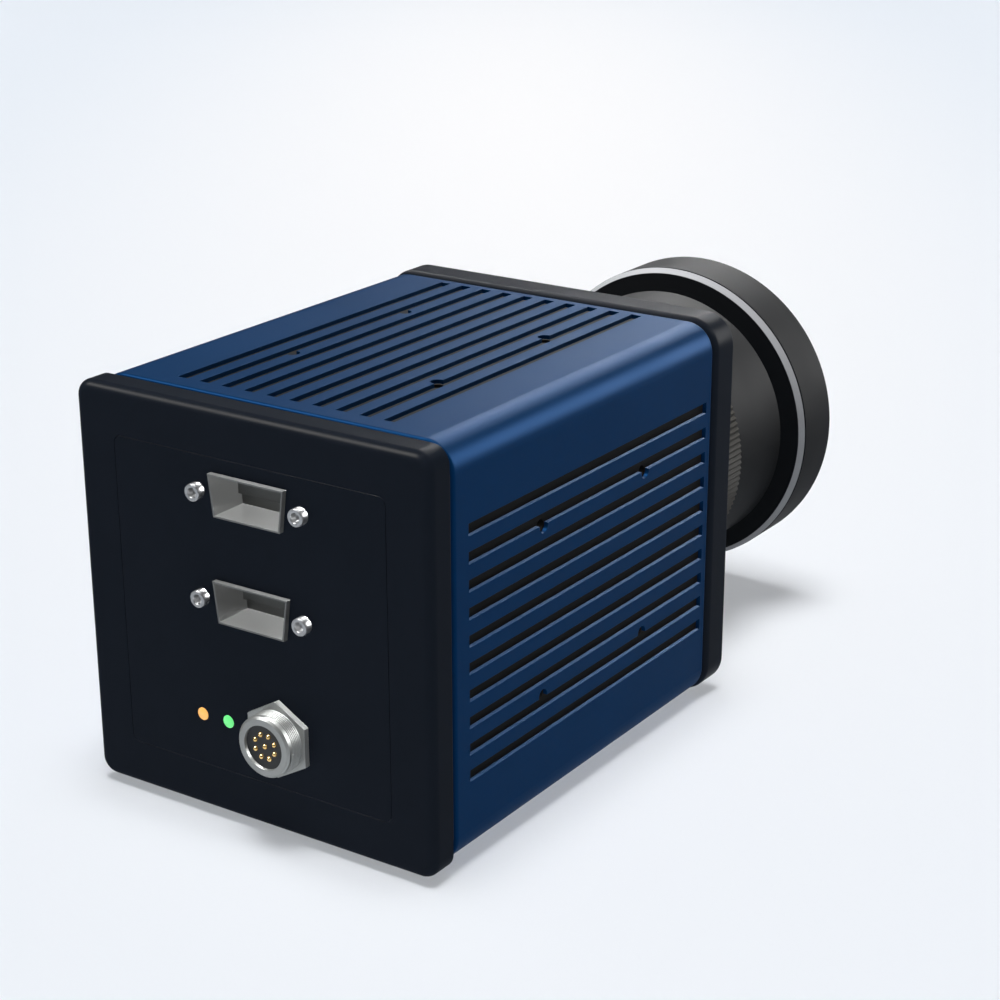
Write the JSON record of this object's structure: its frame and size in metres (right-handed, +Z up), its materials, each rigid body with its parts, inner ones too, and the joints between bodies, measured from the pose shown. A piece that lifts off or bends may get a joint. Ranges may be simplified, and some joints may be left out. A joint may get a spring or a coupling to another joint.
{
  "type": "gas leak imaging camera",
  "caption": "Compact gas leak imaging camera with a slotted square housing, black end frames, rear video and power sockets, and a focusing infrared lens with a knurled ring.",
  "frame": {"origin": "mouth of the tripod thread in the base plate, on the plane that the camera stands on", "axes": "+Y forward along the lens, +Z up, +X to the right seen from behind"},
  "size_m": [0.0974, 0.2025, 0.0982],
  "materials": {
    "blue_anodised": "blue anodised",
    "black_anodised": "black anodised, satin",
    "dark_aluminium": "dark anodised",
    "lens_grey": "dark grey anodised, turned",
    "knurled_grey": "warm grey, knurled",
    "bright_ring": "polished",
    "bare_aluminium": "as machined",
    "steel": "stainless",
    "plated_shell": "nickel plated",
    "bronze": "bearing bronze",
    "gold": "gold plated",
    "black_plastic": "moulded",
    "board_green": "solder mask",
    "rubber": "moulded seal",
    "coated_optic": "coated infrared optic",
    "lamp_amber": "lit amber lens",
    "lamp_green": "lit green lens"
  },
  "bodies": {
    "housing": {"sleeve": "blue_anodised", "front_bezel": "black_anodised", "rear_bezel": "black_anodised", "rear_panel": "black_anodised", "base_plate": "black_anodised", "chassis": "dark_aluminium", "lens_mount": "lens_grey", "rear_retaining_ring": "lens_grey", "cooler_crankcase": "bare_aluminium", "cooler_motor": "bare_aluminium", "cooler_bracket": "bare_aluminium", "tie_rods": "bare_aluminium", "front_screws": "steel", "base_screws": "steel", "mount_screws": "steel", "guide_key": "steel", "jack_posts": "steel", "panel_standoffs": "steel", "board_standoffs": "steel", "power_standoffs": "steel", "dewar": "steel", "power_socket_nut": "steel", "video_shell_upper": "plated_shell", "video_shell_lower": "plated_shell", "power_socket_shell": "plated_shell", "focus_retainer": "bronze", "power_pins": "gold", "video_insert_upper": "black_plastic", "video_insert_lower": "black_plastic", "power_socket_insert": "black_plastic", "processor_chip": "black_plastic", "detector_board": "board_green", "interface_board": "board_green", "processor_board": "board_green", "power_board": "board_green", "rear_gasket": "rubber", "rear_element": "coated_optic", "dewar_window": "coated_optic", "led_amber": "lamp_amber", "led_green": "lamp_green"},
    "focus_ring": {"focus_ring": "knurled_grey"},
    "lens_group": {"lens_tube": "lens_grey", "front_cell": "lens_grey", "trim_ring": "bright_ring", "front_element": "coated_optic", "front_retaining_ring": "lens_grey", "middle_element": "coated_optic", "middle_retaining_ring": "lens_grey"}
  },
  "joints": [
    {"name": "focus_turn", "type": "hinge", "parent": "housing", "child": "focus_ring", "pos_m": [0, 0.078, 0.0495], "axis": [0, 1, 0], "range_deg": [0, 240]},
    {"name": "lens_slide", "type": "slide", "parent": "housing", "child": "lens_group", "axis": [0, 1, 0], "range_m": [0, 0.006]}
  ],
  "couplings": [
    {"joint": "focus_turn", "follows": "lens_slide", "rad_per_m": 698.13}
  ]
}
